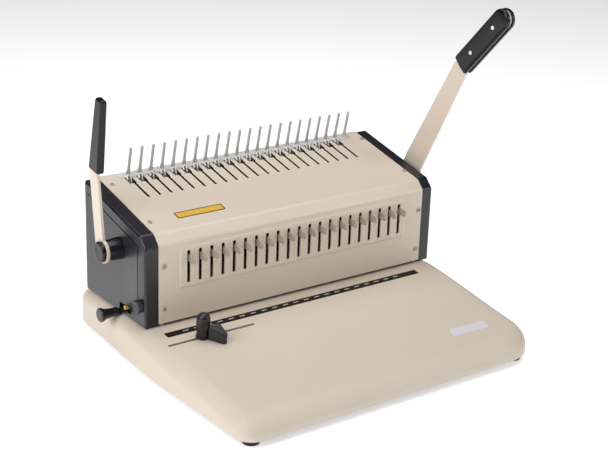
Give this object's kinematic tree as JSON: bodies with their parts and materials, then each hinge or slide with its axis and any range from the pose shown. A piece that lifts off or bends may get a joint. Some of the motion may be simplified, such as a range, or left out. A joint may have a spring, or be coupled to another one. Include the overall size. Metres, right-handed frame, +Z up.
{
  "type": "comb binding machine",
  "caption": "Desk-top plastic-comb binding machine: a beige base and body with black end covers, a punching lever on the right and a comb-opening lever on the left.",
  "frame": {"origin": "on the table the feet stand on, under the middle of the bounding box", "axes": "+X to the right along the row of holes as the user sits, +Y away from the user, +Z up"},
  "size_m": [0.4282, 0.3528, 0.3681],
  "materials": {
    "beige_plastic": "satin moulded, warm off-white",
    "beige_paint": "semi-gloss paint, warm beige",
    "black_plastic": "semi-gloss, near black",
    "black_metal": "satin black paint",
    "rubber": "matt",
    "steel": "ground and oiled",
    "zinc": "zinc plated, satin",
    "dark_steel": "dark grey paint",
    "brass": "turned",
    "yellow_plastic": "satin",
    "strip_black": "satin, printed with plain white dashes"
  },
  "bodies": {
    "machine": {"base_shell": "beige_plastic", "base_floor": "dark_steel", "foot_front_left": "rubber", "foot_front_right": "rubber", "foot_rear_left": "rubber", "foot_rear_right": "rubber", "frame_left": "zinc", "frame_right": "zinc", "bush_left": "brass", "bush_right": "brass", "punch_guide": "steel", "die_plate": "steel", "front_cover": "beige_paint", "rear_panel": "beige_paint", "side_cover_left": "black_plastic", "side_cover_right": "black_plastic", "comb_plate": "zinc", "scale_strip": "strip_black"},
    "punch_lever": {"punch_lever_bar": "beige_paint", "punch_grip_outer": "black_plastic", "punch_grip_inner": "black_plastic", "grip_rivet_1": "steel", "grip_rivet_2": "steel", "punch_shaft": "steel"},
    "comb_lever": {"comb_lever_arm": "beige_paint", "comb_lever_cap": "black_plastic", "comb_lever_hub": "black_plastic", "comb_lever_grip": "black_plastic", "comb_shaft": "steel"},
    "carriage": {"punch_carriage": "dark_steel", "return_spring_left": "steel", "return_spring_right": "steel"},
    "slider": {"hook_slider": "zinc"},
    "pin_01": {"die_pin_01": "steel"},
    "pin_02": {"die_pin_02": "steel"},
    "pin_03": {"die_pin_03": "steel"},
    "pin_04": {"die_pin_04": "steel"},
    "pin_05": {"die_pin_05": "steel"},
    "pin_06": {"die_pin_06": "steel"},
    "pin_07": {"die_pin_07": "steel"},
    "pin_08": {"die_pin_08": "steel"},
    "pin_09": {"die_pin_09": "steel"},
    "pin_10": {"die_pin_10": "steel"},
    "pin_11": {"die_pin_11": "steel"},
    "pin_12": {"die_pin_12": "steel"},
    "pin_13": {"die_pin_13": "steel"},
    "pin_14": {"die_pin_14": "steel"},
    "pin_15": {"die_pin_15": "steel"},
    "pin_16": {"die_pin_16": "steel"},
    "pin_17": {"die_pin_17": "steel"},
    "pin_18": {"die_pin_18": "steel"},
    "pin_19": {"die_pin_19": "steel"},
    "pin_20": {"die_pin_20": "steel"},
    "pin_21": {"die_pin_21": "steel"},
    "guide": {"edge_guide": "black_plastic"},
    "guide_clamp": {"guide_knob": "black_plastic"},
    "depth_dial": {"depth_knob": "black_metal"},
    "depth_mark": {"depth_pointer": "yellow_plastic"},
    "lock_rod": {"depth_lock_rod": "black_plastic"},
    "tray": {"chip_tray": "black_plastic"}
  },
  "joints": [
    {"name": "punch_lever_pull", "type": "hinge", "parent": "machine", "child": "punch_lever", "pos_m": [0.0062, 0.08175, 0.1217], "axis": [1, 0, 0], "range_deg": [0, 55], "stiffness_Nm_per_rad": 1, "springref_deg": -51.57},
    {"name": "comb_lever_pull", "type": "hinge", "parent": "machine", "child": "comb_lever", "pos_m": [0.0062, 0.08175, 0.1217], "axis": [1, 0, 0], "range_deg": [0, 70]},
    {"name": "carriage_drop", "type": "slide", "parent": "machine", "child": "carriage", "axis": [0, 0, -1], "range_m": [0, 0.013], "deforming": ["return_spring_left", "return_spring_right"]},
    {"name": "hook_slide", "type": "slide", "parent": "machine", "child": "slider", "axis": [0, -0.9763, -0.2164], "range_m": [0, 0.028]},
    {"name": "pin_01_pull", "type": "slide", "parent": "carriage", "child": "pin_01", "axis": [0, -1, 0], "range_m": [0, 0.005]},
    {"name": "pin_02_pull", "type": "slide", "parent": "carriage", "child": "pin_02", "axis": [0, -1, 0], "range_m": [0, 0.005]},
    {"name": "pin_03_pull", "type": "slide", "parent": "carriage", "child": "pin_03", "axis": [0, -1, 0], "range_m": [0, 0.005]},
    {"name": "pin_04_pull", "type": "slide", "parent": "carriage", "child": "pin_04", "axis": [0, -1, 0], "range_m": [0, 0.005]},
    {"name": "pin_05_pull", "type": "slide", "parent": "carriage", "child": "pin_05", "axis": [0, -1, 0], "range_m": [0, 0.005]},
    {"name": "pin_06_pull", "type": "slide", "parent": "carriage", "child": "pin_06", "axis": [0, -1, 0], "range_m": [0, 0.005]},
    {"name": "pin_07_pull", "type": "slide", "parent": "carriage", "child": "pin_07", "axis": [0, -1, 0], "range_m": [0, 0.005]},
    {"name": "pin_08_pull", "type": "slide", "parent": "carriage", "child": "pin_08", "axis": [0, -1, 0], "range_m": [0, 0.005]},
    {"name": "pin_09_pull", "type": "slide", "parent": "carriage", "child": "pin_09", "axis": [0, -1, 0], "range_m": [0, 0.005]},
    {"name": "pin_10_pull", "type": "slide", "parent": "carriage", "child": "pin_10", "axis": [0, -1, 0], "range_m": [0, 0.005]},
    {"name": "pin_11_pull", "type": "slide", "parent": "carriage", "child": "pin_11", "axis": [0, -1, 0], "range_m": [0, 0.005]},
    {"name": "pin_12_pull", "type": "slide", "parent": "carriage", "child": "pin_12", "axis": [0, -1, 0], "range_m": [0, 0.005]},
    {"name": "pin_13_pull", "type": "slide", "parent": "carriage", "child": "pin_13", "axis": [0, -1, 0], "range_m": [0, 0.005]},
    {"name": "pin_14_pull", "type": "slide", "parent": "carriage", "child": "pin_14", "axis": [0, -1, 0], "range_m": [0, 0.005]},
    {"name": "pin_15_pull", "type": "slide", "parent": "carriage", "child": "pin_15", "axis": [0, -1, 0], "range_m": [0, 0.005]},
    {"name": "pin_16_pull", "type": "slide", "parent": "carriage", "child": "pin_16", "axis": [0, -1, 0], "range_m": [0, 0.005]},
    {"name": "pin_17_pull", "type": "slide", "parent": "carriage", "child": "pin_17", "axis": [0, -1, 0], "range_m": [0, 0.005]},
    {"name": "pin_18_pull", "type": "slide", "parent": "carriage", "child": "pin_18", "axis": [0, -1, 0], "range_m": [0, 0.005]},
    {"name": "pin_19_pull", "type": "slide", "parent": "carriage", "child": "pin_19", "axis": [0, -1, 0], "range_m": [0, 0.005]},
    {"name": "pin_20_pull", "type": "slide", "parent": "carriage", "child": "pin_20", "axis": [0, -1, 0], "range_m": [0, 0.005]},
    {"name": "pin_21_pull", "type": "slide", "parent": "carriage", "child": "pin_21", "axis": [0, -1, 0], "range_m": [0, 0.005]},
    {"name": "guide_slide", "type": "slide", "parent": "machine", "child": "guide", "axis": [1, 0, 0], "range_m": [-0.03, 0.057]},
    {"name": "guide_clamp_turn", "type": "hinge", "parent": "guide", "child": "guide_clamp", "pos_m": [-0.1438, -0.01285, 0.04384], "axis": [0, -0.0995, 0.995], "range_deg": [0, 90]},
    {"name": "depth_dial_turn", "type": "hinge", "parent": "machine", "child": "depth_dial", "pos_m": [-0.1918, 0.03675, 0.0715], "axis": [1, 0, 0], "range_deg": [-60, 60]},
    {"name": "depth_mark_slide", "type": "slide", "parent": "machine", "child": "depth_mark", "axis": [0, 1, 0], "range_m": [-0.0075, 0.0075]},
    {"name": "lock_rod_pull", "type": "slide", "parent": "machine", "child": "lock_rod", "axis": [-1, 0, 0], "range_m": [0, 0.012]},
    {"name": "tray_pull", "type": "slide", "parent": "machine", "child": "tray", "axis": [0, 1, 0], "range_m": [0, 0.1]}
  ],
  "couplings": [
    {"joint": "carriage_drop", "follows": "punch_lever_pull", "m_per_rad": 0.013543},
    {"joint": "hook_slide", "follows": "comb_lever_pull", "m_per_rad": 0.022918},
    {"joint": "depth_mark_slide", "follows": "depth_dial_turn", "m_per_rad": 0.0071619}
  ]
}
